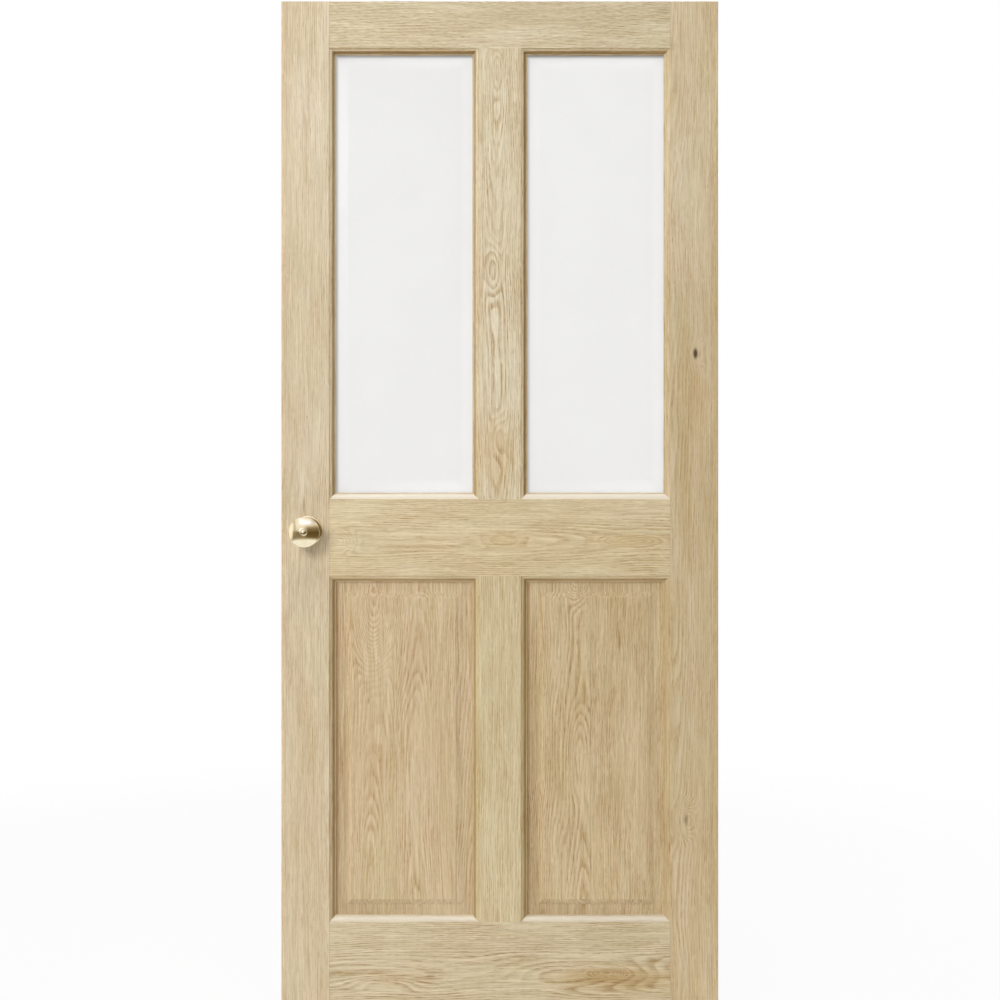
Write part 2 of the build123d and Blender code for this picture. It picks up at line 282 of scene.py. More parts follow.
def fielded(f, colour, x, z, back, panel):
    """Painted light and shade on a raised and fielded panel, told by the distances from its edges.

    Its sunk margin gets painted shade, its bevels across the grain are darker, partly from the cross grain
    and partly as painted shade, and of the bevels along the grain the right one gets painted light.
    """
    lo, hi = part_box(panel)
    field = HALF + lo.y
    ends = f.inward(z, lo.z, hi.z)
    sides = f.inward(x, lo.x, hi.x)
    off_field = f.rise(back, field + 0.0001, field + 0.0004)

    # Painted shade on the sunk margin, strongest toward the foot and the left, least toward the head and the
    # right
    sunk = f.times(
        f.rise(back, field + 0.0002, field + 0.0034),
        f.rise(z, lo.z + 0.03, hi.z - 0.03, 1.35, 0.15),
        f.rise(x, lo.x, hi.x, 0.9, 0.2),
        clamp=True,
    )
    colour = f.tinted(colour, sunk, (0.86, 0.84, 0.80))

    # The bevels across the grain darker, partly from the cross grain and partly painted shade, most on the
    # upper bevel, which looks up into the light
    crossing = f.rise(f.math("SUBTRACT", sides, ends), -0.0004, 0.0004)
    sloping = f.times(
        off_field,
        f.rise(z, (lo.z + hi.z) / 2, hi.z, 0.15, 0.3),
        f.rise(ends, PANEL_FOOT - 0.001, PANEL_FOOT + 0.001),
    )
    colour = f.tinted(colour, f.times(crossing, sloping), (0.80, 0.78, 0.75))

    # Painted light: the right bevel along the grain, turned away from the lamps, made paler
    lit_right_bevel = f.times(
        f.math("SUBTRACT", 1.0, crossing), f.rise(x, lo.x, hi.x, -6.0, 6.0), off_field, clamp=True
    )
    lit_right_bevel = f.times(lit_right_bevel, f.rise(sides, PANEL_FOOT - 0.001, PANEL_FOOT + 0.001))
    colour = f.tinted(colour, lit_right_bevel, (1.08, 1.08, 1.08))

    # Painted shadow of the mouldings on the margin, at the head and the lock side
    sight = MOULDING - PANEL_GAP
    shadow_side = f.rise(f.math("SUBTRACT", x, lo.x), sight, sight + 0.0085, 1.0, 0.0)
    shadow_head = f.rise(f.math("SUBTRACT", hi.z, z), sight, sight + 0.005, 0.55, 0.0)
    return f.tinted(colour, f.math("MAXIMUM", shadow_side, shadow_head), (0.60, 0.47, 0.32))


def oak(
    name,
    grain="z",
    heart=(0.0, 0.07),
    slope=0.02,
    rings=330.0,
    sway=0.006,
    seed=0.0,
    light=(226, 209, 180),
    mid=(214, 194, 160),
    dark=(188, 160, 119),
    figure=1.0,
    bends=(),
    eyes=(),
    knots=(),
    patches=(),
    staves=(),
    edge_lines=(),
    lippings=(),
    foot=(1.0, 0.985, 0.95),
    middle=0.0,
    painted_shade=(1.0, 1.0),
    low_darkening=(0.0, 0.0),
    painted_highlight=(0.0, 0.0),
    panel=None,
):
    """Oak cut from a log, figured in the solid.

    Growth rings, so many to the metre, are the distance from a heart line that runs beside the board, leaning
    by slope and swaying with slow noise. Where a ring cuts the face the wood is darker and carries the long
    open pores, and figure says how strongly. The fibres are fine noise stretched along the board, and follow
    the same bends.

    A place on the face is an ellipse: its middle across and along the grain, and its half width and half
    length. A bend moves the fibres aside there, an eye lifts the rings so that they close round it, and a
    patch tints the wood. A knot (its middle, its radius and its strength) bends, lifts and darkens. A stave
    is a glue line with the steps of heart and tone beyond it. Edge lines and lippings are lines of x.
    """
    f = Finish(name)
    _, x, y, z = f.coordinates()
    across, along = (x, z) if grain == "z" else (z, x)

    def ellipse(centre_across, centre_along, half_width, half_length):
        """One at the middle of an ellipse on the face, falling softly to nothing at its edge."""
        u = f.math("MULTIPLY_ADD", across, 1 / half_width, -centre_across / half_width)
        v = f.math("MULTIPLY_ADD", along, 1 / half_length, -centre_along / half_length)
        return f.rise(f.length(u, v, 0.0), 0.0, 1.0, 1.0, 0.0)

    # Glued staves: each line moves the heart and the tone for all the wood on its far side
    stave, stave_side, stave_shade = 0.0, 0.0, 0.0
    for line_at, side_step, shade_step in staves:
        past = f.math("GREATER_THAN", across, line_at)
        stave = f.math("ADD", stave, past)
        stave_side = f.math("MULTIPLY_ADD", past, side_step, stave_side)
        stave_shade = f.math("MULTIPLY_ADD", past, shade_step, stave_shade)

    # The board's seat in the log: across, through and along the grain
    a, b, c = 3.17 * seed, 1.31 * seed, 5.71 * seed
    deep = f.math("MULTIPLY_ADD", stave, 0.31, y) if staves else y
    seat = f.vector(across, deep, along)
    drift = f.noise(seat, (5.0, 3.0, 2.6), (a, b, c))
    wander = f.noise(seat, (9.0, 6.0, 2.2), (c, a, b))

    bent = f.math("ADD", across, f.math("MULTIPLY_ADD", drift, 4.0 * sway, -2.0 * sway))
    depth = f.math("MULTIPLY_ADD", along, slope, heart[1])
    depth = f.math("ADD", f.math("MULTIPLY_ADD", wander, 5.0 * sway, depth), y)
    for *where, push in bends:
        bent = f.math("MULTIPLY_ADD", ellipse(*where), push, bent)
    for *where, push in eyes:
        depth = f.math("MULTIPLY_ADD", ellipse(*where), push, depth)
    core = 0.0
    for knot_across, knot_along, size, strength in knots:
        swell = ellipse(knot_across, knot_along, 4.0 * size, 7.0 * size)
        depth = f.math("MULTIPLY_ADD", swell, 2.4 * size, depth)
        bent = f.math("MULTIPLY_ADD", swell, 0.9 * size, bent)
        core = f.math("MULTIPLY_ADD", ellipse(knot_across, knot_along, size, 2.4 * size), strength, core)
    side = f.math("SUBTRACT", bent, heart[0])
    if staves:
        side = f.math("ADD", side, stave_side)
    radius = f.length(side, depth, 0.0)
    seat = f.vector(bent, deep, along)

    # The ring porous bands, ragged and fading in and out along the board
    ragged = f.noise(seat, (90.0, 90.0, 9.0), (a, b, c))
    turn = f.math("FRACT", f.math("MULTIPLY_ADD", radius, rings, f.times(ragged, 0.4)))
    fade = f.noise(seat, (22.0, 22.0, 5.5), (c, a, b))
    early = f.times(
        f.rise(turn, 0.0, 0.16), f.rise(turn, 0.2, 0.85, 1.0, 0.0), f.rise(fade, 0.36, 0.62, 0.3, 1.0)
    )

    # Fibres, pores and flecks from coarse to fine, and the board's slow changes of tone
    line = f.noise(seat, (400.0, 400.0, 11.0), (a, b, c), detail=3.0, roughness=0.6)
    dash = f.noise(seat, (560.0, 560.0, 34.0), (c, a, b), roughness=0.6)
    pore = f.noise(seat, (1250.0, 1250.0, 70.0), (a, b, c), detail=1.0)
    speck = f.noise(seat, (260.0, 90.0, 48.0), (b, c, a), detail=1.0)
    streak = f.noise(seat, (95.0, 95.0, 3.6), (c, a, b), detail=3.0, roughness=0.6)
    slow = f.noise(seat, (11.0, 9.0, 3.4), (c, b, a), detail=3.0)
    blush = f.noise(seat, (20.0, 20.0, 7.0), (c, a, b))
    short = f.rise(dash, 0.5, 0.68)
    open_pore = f.times(f.rise(pore, 0.55, 0.67), f.math("MULTIPLY_ADD", early, 0.7, 0.3))
    grainy = f.math("MULTIPLY_ADD", short, 0.75, 0.4)

    pale = tone(*(min(255, channel + 15) for channel in light))
    brown = tone(*(0.74 * channel for channel in dark))
    warm = tone(dark[0] + 2, 0.955 * dark[1], 0.84 * dark[2])
    colour = f.mix(f.rise(streak, 0.32, 0.68), tone(*light), tone(*mid))
    for amount, laid in (
        (f.times(f.rise(streak, 0.60, 0.72), 0.55), pale),
        (f.times(f.rise(line, 0.5, 0.3), 0.6), pale),
        (f.times(f.rise(line, 0.52, 0.7), 0.5), tone(*dark)),
        (f.times(early, grainy, 0.75 * figure, clamp=True), warm),
        (f.times(short, 0.24), tone(*dark)),
        (f.times(f.rise(speck, 0.6, 0.74), 0.3), pale),
        (f.times(open_pore, 0.4 * figure), brown),
    ):
        colour = f.mix(amount, colour, laid)
    colour = f.tinted(colour, f.rise(slow, 0.62, 0.36), (0.965, 0.955, 0.915))
    colour = f.tinted(colour, f.rise(blush, 0.5, 0.7), (0.985, 1.0, 0.975))
    colour = f.tinted(colour, f.rise(blush, 0.5, 0.3), (1.0, 0.985, 0.985))
    for *where, tint in patches:
        soft = f.times(ellipse(*where), f.rise(slow, 0.3, 0.6, 0.6, 1.6), clamp=True)
        soft = f.times(soft, f.rise(streak, 0.3, 0.6, 0.7, 1.3), clamp=True)
        colour = f.tinted(colour, soft, tint)
    if staves:
        shade = f.math("ADD", stave_shade, 1.0)
        colour = f.mix(1.0, colour, f.vector(shade, shade, shade), "MULTIPLY")
    for glue_line, *_ in staves:
        colour = f.mix(f.times(f.near(across, glue_line, 0.0007), 0.4), colour, brown)
    if knots:
        heartwood = tone(0.5 * dark[0], 0.42 * dark[1], 0.32 * dark[2])
        colour = f.mix(core, colour, heartwood)
    for edge, reach, strength in edge_lines:
        colour = f.mix(f.times(f.near(x, edge, reach), strength), colour, tone(150, 96, 44))
    for edge, outward, tint in lippings:
        past = f.math("GREATER_THAN" if outward > 0 else "LESS_THAN", x, edge)
        colour = f.tinted(colour, past, tint)
        colour = f.mix(f.times(f.near(x, edge, 0.0007), 0.3), colour, brown)

    # Painted shade: darker and warmer toward the foot, standing in for dimmer, warmer light low down
    lower = f.rise(z, BOTTOM + 0.4, TOP - 0.5, 1.0, 0.0, smooth=False)
    colour = f.tinted(colour, lower, foot)

    back = f.math("SUBTRACT", HALF, f.math("ABSOLUTE", y))
    # The mouldings, or the fielded panel, get their painted light and shade
    if panel is None:
        colour = moulded(f, colour, across, x, z, back, middle, painted_shade, low_darkening, painted_highlight)
    else:
        colour = fielded(f, colour, x, z, back, panel)

    sheen = f.math("MULTIPLY_ADD", open_pore, 0.22, f.rise(streak, 0.2, 0.8, 0.40, 0.52))
    relief = f.math("MULTIPLY_ADD", open_pore, -0.7, f.times(early, -0.25))
    relief = f.math("MULTIPLY_ADD", line, 0.35, relief)
    surface = f.shader(
        Base_Color=colour,
        Roughness=sheen,
        Normal=f.bump(relief, 0.35, 0.00025),
        Coat_Weight=0.45 if panel is None else 0.12,
        Coat_Roughness=0.28,
    )
    return f.output(surface)


def dress(material, *names):
    """Give CAD nodes a finish through their material slots."""
    for name in names:
        mesh = nodes[name].data
        mesh.materials.clear()
        mesh.materials.append(material)


# The timbers, member by member
shoulders = ((LOCK_SHOULDER, 0.0009, 0.55), (HINGE_SHOULDER, 0.0009, 0.55))
dress(
    oak(
        "oak_lock_stile",
        heart=(-0.70, 0.06),
        slope=0.012,
        seed=1.0,
        light=(227, 213, 187),
        mid=(216, 201, 172),
        dark=(190, 165, 129),
        knots=((-0.7887, 0.193, 0.0016, 0.7),),
        patches=(
            (-0.79, -0.62, 0.05, 0.5, (0.97, 0.95, 0.90)),
            (-0.7945, 0.024, 0.0014, 0.020, (0.55, 0.45, 0.32)),
        ),
        lippings=((LEFT + 0.009, -1, (1.03, 0.985, 0.95)),),
        painted_shade=(0.8, 0.8),
        low_darkening=(0.65, 0.65),
    ),
    "lock_stile",
)
dress(
    oak(
        "oak_hinge_stile",
        heart=(-0.10, 0.07),
        slope=-0.02,
        seed=2.3,
        light=(222, 206, 175),
        mid=(210, 191, 154),
        dark=(180, 153, 109),
        knots=((-0.0438, 0.3149, 0.0066, 1.4), (-0.0620, -0.579, 0.0075, 0.5)),
        patches=(
            (-0.05, 0.12, 0.05, 0.32, (0.95, 0.93, 0.88)),
            (-0.035, 0.21, 0.025, 0.13, (0.985, 0.93, 0.85)),
            (-0.05, 0.85, 0.12, 0.55, (1.07, 1.09, 1.13)),
        ),
        lippings=((RIGHT - 0.014, 1, (0.97, 0.94, 0.88)),),
        foot=(0.98, 0.95, 0.89),
        painted_shade=(0.2, 0.2),
        low_darkening=(0.3, 0.3),
    ),
    "hinge_stile",
)
dress(
    oak(
        "oak_top_rail",
        grain="x",
        heart=(1.08, 0.05),
        slope=0.03,
        seed=3.1,
        light=(235, 224, 198),
        mid=(221, 206, 176),
        dark=(182, 161, 122),
        figure=2.1,
        bends=((1.0, -0.34, 0.07, 0.26, 0.030),),
        edge_lines=shoulders,
    ),
    "top_rail",
)
dress(
    oak(
        "oak_lock_rail",
        grain="x",
        heart=(-0.0446, 0.05),
        slope=0.012,
        sway=0.005,
        seed=4.6,
        light=(233, 219, 186),
        mid=(219, 202, 166),
        dark=(185, 158, 114),
        figure=1.3,
        eyes=(
            (-0.0446, -0.1693, 0.016, 0.085, 0.012),
            (-0.0446, -0.735, 0.035, 0.060, 0.020),
            (-0.0446, -0.409, 0.022, 0.070, 0.008),
        ),
        patches=(
            (-0.0446, -0.400, 0.026, 0.085, (0.93, 0.87, 0.78)),
            (-0.0446, -0.170, 0.020, 0.11, (0.94, 0.89, 0.80)),
        ),
        edge_lines=shoulders,
        middle=LOCK_RAIL_MIDDLE,
        painted_shade=(0.75, 0.12),
        painted_highlight=(0.0, 0.72),
    ),
    "lock_rail",
)
dress(
    oak(
        "oak_bottom_rail",
        grain="x",
        heart=(-0.873, 0.05),
        slope=-0.015,
        seed=5.2,
        light=(228, 216, 189),
        mid=(213, 199, 166),
        dark=(173, 148, 109),
        figure=1.5,
        eyes=(
            (-0.873, -0.2115, 0.016, 0.05, 0.014),
            (-0.873, -0.24, 0.045, 0.24, 0.020),
            (-0.893, -0.640, 0.022, 0.11, 0.010),
        ),
        patches=(
            (-0.888, -0.19, 0.045, 0.20, (0.80, 0.68, 0.48)),
            (-0.885, -0.62, 0.022, 0.09, (0.93, 0.87, 0.79)),
        ),
        edge_lines=shoulders,
        middle=2 * BOTTOM,  # its only moulding is on its high edge
        painted_shade=(0.0, 0.1),
        painted_highlight=(0.0, 0.55),
    ),
    "bottom_rail",
)
dress(
    oak(
        "oak_upper_muntin",
        heart=(-0.4244, 0.045),
        slope=-0.035,
        seed=6.4,
        light=(236, 225, 201),
        mid=(223, 209, 179),
        dark=(188, 164, 123),
        figure=1.5,
        eyes=(
            (-0.432, 0.475, 0.024, 0.085, 0.010),
            (-0.424, 0.86, 0.018, 0.08, 0.012),
            (-0.421, 0.155, 0.024, 0.070, 0.009),
        ),
        patches=((-0.424, 0.12, 0.06, 0.11, (0.93, 0.865, 0.76)),),
        middle=MUNTIN_MIDDLE,
        painted_shade=(0.8, 1.0),
    ),
    "upper_muntin",
)
dress(
    oak(
        "oak_lower_muntin",
        heart=(-0.34, 0.10),
        slope=0.01,
        seed=7.7,
        light=(225, 212, 178),
        mid=(212, 196, 158),
        dark=(182, 156, 112),
        middle=MUNTIN_MIDDLE,
        painted_shade=(0.75, 0.65),
        low_darkening=(0.0, 0.6),
    ),
    "lower_muntin",
)
dress(
    oak(
        "panel_oak_left",
        heart=(-0.664, 0.05),
        slope=0.03,
        sway=0.008,
        seed=8.8,
        light=(224, 204, 173),
        mid=(210, 189, 153),
        dark=(182, 151, 110),
        figure=1.1,
        eyes=((-0.664, -0.158, 0.060, 0.21, 0.055),),
        patches=((-0.65, -0.70, 0.05, 0.16, (0.97, 1.0, 0.96)),),
        staves=((-0.618, -0.088, 0.0), (-0.503, -0.12, -0.02)),
        panel="lower_panel_left",
    ),
    "lower_panel_left",
)
dress(
    oak(
        "panel_oak_right",
        heart=(-0.271, 0.06),
        slope=0.035,
        sway=0.008,
        seed=9.5,
        light=(222, 203, 169),
        mid=(208, 186, 148),
        dark=(171, 143, 98),
        figure=1.35,
        eyes=((-0.271, -0.10, 0.030, 0.10, 0.020), (-0.271, -0.45, 0.03, 0.12, -0.008)),
        patches=(
            (-0.256, -0.33, 0.004, 0.05, (0.80, 0.68, 0.50)),
            (-0.189, -0.24, 0.004, 0.03, (0.72, 0.60, 0.44)),
            (-0.215, -0.68, 0.055, 0.12, (1.05, 1.06, 1.06)),
        ),
        staves=((-0.245, 0.09, 0.0),),
        panel="lower_panel_right",
    ),
    "lower_panel_right",
)
upright_beads = [n for n in nodes if n.startswith("bead_") and n.endswith("_side")]
level_beads = [n for n in nodes if n.startswith("bead_") and not n.endswith("_side")]
dress(oak("oak_upright_beads", heart=(-0.4, 0.2), seed=10.1, painted_shade=(0.6, 0.6)), *upright_beads)
dress(
    oak("oak_level_beads", grain="x", heart=(0.3, 0.2), seed=11.6, painted_shade=(0.6, 0.6)), *level_beads
)


# Glass: satin field, polished bevel


def satin_glass(name, pane, foot, head):
    """A pane etched on its flat field and clearer on its bevel, told apart by the distance to the edge.

    foot and head are the pane's level at its foot and at its head; it is painted darker toward the head, a
    painted shade that evens out the stronger light from above.
    """
    lo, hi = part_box(pane)
    f = Finish(name)
    place, x, _, z = f.coordinates()
    from_edge = f.math("MINIMUM", f.inward(x, lo.x, hi.x), f.inward(z, lo.z, hi.z))
    field = f.rise(from_edge, PANE_BEVEL - 0.012, PANE_BEVEL + 0.004)
    cloud = f.noise(place, (9.0, 9.0, 9.0), detail=3.0)
    grit = f.noise(place, (2600.0, 2600.0, 2600.0), detail=1.0)
    # Painted shade and light: darker toward the head and a little lighter toward the right, evening out the
    # lamps' fall
    level = f.times(
        f.rise(z, lo.z, hi.z, foot, head, smooth=False),
        f.rise(x, lo.x, hi.x, 0.99, 1.01, smooth=False),
    )
    # Painted highlight: the bevel a little paler than the field, more so toward the right
    border = f.times(f.math("SUBTRACT", 1.0, field), f.rise(x, lo.x, hi.x, 0.02, 0.075))
    level = f.math("MULTIPLY_ADD", level, border, level)
    level = f.math("MULTIPLY_ADD", f.rise(cloud, 0.3, 0.7), -0.012, level)

    # Painted shadow of the mouldings on the pane's edge, at the head and at the lock side
    sight = MOULDING - PANE_GAP
    edge_shadow = f.math(
        "MINIMUM",
        f.rise(f.math("SUBTRACT", x, lo.x), sight - 0.001, sight + 0.0076, 0.60, 1.0),
        f.rise(f.math("SUBTRACT", hi.z, z), sight, sight + 0.0078, 0.52, 1.0),
    )
    level = f.times(level, edge_shadow, clamp=True)
    frost = f.math("MULTIPLY_ADD", field, 0.10, f.rise(cloud, 0.2, 0.8, 0.30, 0.36))
    etched = f.shader(
        Base_Color=f.vector(level, level, level),
        Roughness=frost,
        IOR=1.5,
        Transmission_Weight=0.42,
        Normal=f.bump(f.times(grit, field), 0.05, 0.0001),
    )
    shadow = f.node("ShaderNodeLightPath").outputs["Is Shadow Ray"]
    clear = f.see_through((0.8, 0.81, 0.81, 1.0))
    return f.output(f.blend(f.times(shadow, 0.7), etched, clear))


for side, foot, head in (("left", 0.872, 0.818), ("right", 0.895, 0.862)):
    dress(satin_glass(f"satin_glass_{side}", f"glass_{side}", foot, head), f"glass_{side}")


# Brass, steel and the setting blocks


def brass(name, polish=0.11, shaded_radius=0.0):
    """Polished brass: turning marks round the knob's axis, soft handling haze and a little tarnish.

    Inside the given radius the brass is painted an even dark brown: painted shade and dark reflection under
    the knob's head.
    """
    f = Finish(name)
    place, x, y, z = f.coordinates()
    out = f.length(f.math("SUBTRACT", x, KNOB_X), 0.0, f.math("SUBTRACT", z, KNOB_Z))
    turning = f.noise(f.vector(f.times(out, 5200.0), f.times(y, 5200.0), 0.0), detail=1.0)
    haze = f.noise(place, (60.0, 60.0, 60.0), detail=4.0, roughness=0.6)
    scratch = f.noise(place, (400.0, 900.0, 3800.0))
    spot = f.rise(f.noise(place, (220.0, 220.0, 220.0), detail=3.0), 0.62, 0.8)
    colour = f.mix(f.rise(haze, 0.3, 0.7), (0.92, 0.84, 0.62, 1.0), (0.89, 0.79, 0.54, 1.0))
    colour = f.mix(f.times(spot, 0.25), colour, (0.55, 0.39, 0.18, 1.0))
    # Painted shade: an even dark brown on the rose inside the given radius, under the knob's head
    if shaded_radius:
        colour = f.mix(f.rise(out, shaded_radius, shaded_radius + 0.0012, 0.7, 0.0), colour, (0.30, 0.20, 0.08, 1.0))
    rough = f.rise(haze, 0.25, 0.8, polish * 0.75, polish * 1.5)
    surface = f.shader(
        Base_Color=colour,
        Metallic=1.0,
        Roughness=f.math("MULTIPLY_ADD", f.rise(scratch, 0.6, 0.75), 0.06, rough),
        Normal=f.bump(f.math("MULTIPLY_ADD", scratch, 0.3, turning), 0.04, 0.00005),
    )
    return f.output(surface)


def steel(name):
    """Plain steel: brushed lengthwise, with a thin brown bloom."""
    f = Finish(name)
    place, *_ = f.coordinates()
    brushed = f.noise(place, (2400.0, 160.0, 2400.0))
    bloom = f.noise(place, (90.0, 90.0, 90.0), detail=3.0)
    surface = f.shader(
        Base_Color=f.mix(f.rise(bloom, 0.45, 0.75), (0.52, 0.51, 0.50, 1.0), (0.38, 0.33, 0.29, 1.0)),
        Metallic=1.0,
        Roughness=f.rise(brushed, 0.2, 0.8, 0.28, 0.46),
        Normal=f.bump(brushed, 0.08, 0.00005),
    )
    return f.output(surface)


def block(name):
    """Moulded plastic: matt, with a faint mottle and flow lines."""
    f = Finish(name)
    place, *_ = f.coordinates()
    mottle = f.noise(place, (300.0, 900.0, 900.0), detail=3.0)
    surface = f.shader(
        Base_Color=f.mix(f.rise(mottle, 0.3, 0.7), (0.10, 0.10, 0.105, 1.0), (0.14, 0.14, 0.145, 1.0)),
        Roughness=f.rise(mottle, 0.2, 0.8, 0.5, 0.65),
        Normal=f.bump(mottle, 0.1, 0.0001),
    )
    return f.output(surface)


# The turned brassware's sizes: radii from the knob's axis, and heights outwards from the leaf's face
ROSE_RIM = (rose_hi.x - rose_lo.x) / 2
ROSE_HEIGHT = 0.004
COLLAR = 0.0125
COLLAR_HEIGHT = 0.012
NECK = 0.0095
NECK_FIT = 0.00008
NECK_START = 0.0015
KNOB_RIM = (knob_hi.x - knob_lo.x) / 2
KNOB_TIP = -knob_lo.y - HALF
CROWN = KNOB_TIP - 0.0022
RIM_TOP = CROWN - 0.010
HEAD_BACK = RIM_TOP - 0.005
THROAT = HEAD_BACK - 0.007
FLARE = 0.006
BUTTON = 0.0055
GROOVE = 0.0065
GROOVE_DEPTH = 0.0008
GRUB_HEIGHT = -(grub_lo.y + grub_hi.y) / 2 - HALF
GRUB_RADIUS = (grub_hi.x - grub_lo.x) / 2 + 0.0001
GRUB_SINK = 0.0009

knob_brass = brass("polished_brass")
rose_brass = brass("rose_brass", polish=0.15, shaded_radius=ROSE_RIM - 0.0042)
dress(knob_brass, "knob_front", "knob_back")
dress(rose_brass, "rose_front", "rose_back")
dress(steel("spindle_steel"), "spindle", "grub_screw_front", "grub_screw_back")
dress(block("setting_block"), "glass_blocks_left", "glass_blocks_right")


# Turned brassware


def eased(corners, steps=8):
    """An outline of corners (radius, height, easing): each corner is rounded by an arc of its easing.

    The arc touches both sides at easing times the tangent of half the turn from the corner, and its points
    go round its centre at equal angles.
    """
    corners = np.array(corners, float)
    outline = [corners[:1, :2]]
    for before, corner, after in zip(corners[:-2], corners[1:-1], corners[2:]):
        spot, easing = corner[:2], corner[2]
        arriving = (spot - before[:2]) / np.linalg.norm(spot - before[:2])
        leaving = (after[:2] - spot) / np.linalg.norm(after[:2] - spot)
        turn = np.arctan2(arriving[0] * leaving[1] - arriving[1] * leaving[0], arriving @ leaving)
        if easing == 0.0 or abs(turn) < 1e-6:
            outline.append(spot[None])
            continue
        start = spot - arriving * easing * np.tan(abs(turn) / 2)
        inward = np.array((-arriving[1], arriving[0])) * np.sign(turn)
        centre = start + inward * easing
        angles = np.linspace(0.0, turn, steps)
        spoke = start - centre
        arc = np.stack(
            (
                spoke[0] * np.cos(angles) - spoke[1] * np.sin(angles),
                spoke[0] * np.sin(angles) + spoke[1] * np.cos(angles),
            ),
            axis=1,
        )
        outline.append(centre + arc)
    outline.append(corners[-1:, :2])
    return np.concatenate(outline)


def domed(rim, rim_top, crown, steps=40):
    """A dome's outline from its rim to near its crown: equal angles on the circle through rim and crown."""
    rise = crown - rim_top
    ball = (rim**2 + rise**2) / (2 * rise)
    angles = np.linspace(np.arcsin(rim / ball), 0.0, steps)
    return np.stack((ball * np.sin(angles), crown - ball + ball * np.cos(angles)), axis=1)


def grub_hole(radius, height, angle):
    """Sinks the neck under the grub screw: inside a circle on the neck's lower side the radius drops."""
    below = (angle + np.pi / 2 + np.pi) % (2 * np.pi) - np.pi
    away = np.hypot(below * radius, height - GRUB_HEIGHT)
    sunk = np.clip((GRUB_RADIUS - away) / 0.00025 + 0.5, 0.0, 1.0)
    return radius - GRUB_SINK * sunk * (radius > 0.5 * NECK)


def turn_on_axis(name, outline, outwards, finish, node, body, hollow=None, segments=192):
    """An outline of radius and height turned about the knob's axis, in place of a CAD node.

    A point at radius r and height h goes to x = r cos a, z = r sin a round the axis, h out from the leaf's
    face. hollow may change the radius from its angle and height, as for a screw's hole.
    """
    angle = np.linspace(0.0, 2 * np.pi, segments, endpoint=False)
    radius = np.repeat(outline[:, 0][:, None], segments, axis=1)
    height = np.repeat(outline[:, 1][:, None], segments, axis=1)
    if hollow is not None:
        radius = hollow(radius, height, angle[None, :])
    points = np.stack(
        (
            KNOB_X + radius * np.cos(angle),
            outwards * (HALF + height),
            KNOB_Z + radius * np.sin(angle),
        ),
        axis=-1,
    ).reshape(-1, 3)
    cell = np.arange(segments)
    after = (cell + 1) % segments
    row = np.arange(len(outline) - 1)[:, None] * segments
    quads = np.stack((row + cell, row + after, row + segments + after, row + segments + cell), axis=-1)
    quads = quads.reshape(-1, 4)

    # The faces are turned round together where they look inwards
    corner = points[quads]
    spot = corner.mean(axis=1) - (KNOB_X, outwards * (HALF + outline[:, 1].mean()), KNOB_Z)
    facing = np.cross(corner[:, 2] - corner[:, 0], corner[:, 3] - corner[:, 1])
    if (facing * spot).sum() < 0.0:
        quads = quads[:, ::-1]
    mesh = bpy.data.meshes.new(name)
    mesh.from_pydata(points.tolist(), [], quads.tolist())

    # The points on the axis are merged into one
    shape = bmesh.new()
    shape.from_mesh(mesh)
    bmesh.ops.remove_doubles(shape, verts=shape.verts, dist=1e-7)
    shape.to_mesh(mesh)
    shape.free()
    mesh.polygons.foreach_set("use_smooth", [True] * len(mesh.polygons))
    mesh.materials.append(finish)
    made = bpy.data.objects.new(name, mesh)
    bpy.context.scene.collection.objects.link(made)
    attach(made, body)
    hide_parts(node)


# The knob: neck with close rows round the grub screw, flared throat, flat back, bevel and rim, then the
# dome, which starts three points in, where the rim's rounding ends, and the button in its groove
dome = domed(KNOB_RIM, RIM_TOP, CROWN)
dome = dome[dome[:, 0] > GROOVE + 0.0003]
neck_rows = np.arange(0.0165, 0.0235, 0.00025)
shank = np.concatenate(
    (
        [[0.0, NECK_START, 0.0], [NECK, NECK_START, 0.0005]],
        np.stack((np.full_like(neck_rows, NECK), neck_rows, np.zeros_like(neck_rows)), axis=1),
        [[NECK, THROAT, 0.006], [NECK + FLARE, HEAD_BACK, 0.0035]],
        [[KNOB_RIM - 0.001, HEAD_BACK, 0.0010], [KNOB_RIM, HEAD_BACK + 0.001, 0.0010]],
        [[KNOB_RIM, RIM_TOP, 0.0014], [*dome[3], 0.0]],
    )
)
button = [
    [*dome[-1], 0.0],
    [GROOVE, dome[-1, 1], 0.0002],
    [GROOVE, CROWN - GROOVE_DEPTH, 0.0003],
    [BUTTON, CROWN - GROOVE_DEPTH, 0.0003],
    [BUTTON, CROWN + 0.0012, 0.0014],
    [0.0, KNOB_TIP, 0.0],
]
knob_outline = np.concatenate((eased(shank)[:-1], dome[3:-1], eased(button, 6)))
rose_outline = eased(
    [
        [ROSE_RIM - 0.004, 0.0, 0.0],
        [ROSE_RIM, 0.0, 0.0002],
        [ROSE_RIM, ROSE_HEIGHT, 0.0034],
        [COLLAR, ROSE_HEIGHT, 0.0009],
        [COLLAR, COLLAR_HEIGHT, 0.0008],
        [NECK + NECK_FIT, COLLAR_HEIGHT, 0.0003],
        [NECK + NECK_FIT, 0.0, 0.0],
    ]
)
for side, outwards in (("front", -1.0), ("back", 1.0)):
    turn_on_axis(
        f"turned_knob_{side}",
        knob_outline,
        outwards,
        knob_brass,
        f"knob_{side}",
        "knob",
        hollow=grub_hole,
        segments=240,
    )
    turn_on_axis(
        f"turned_rose_{side}", rose_outline, outwards, rose_brass, f"rose_{side}", "leaf"
    )


# Studio


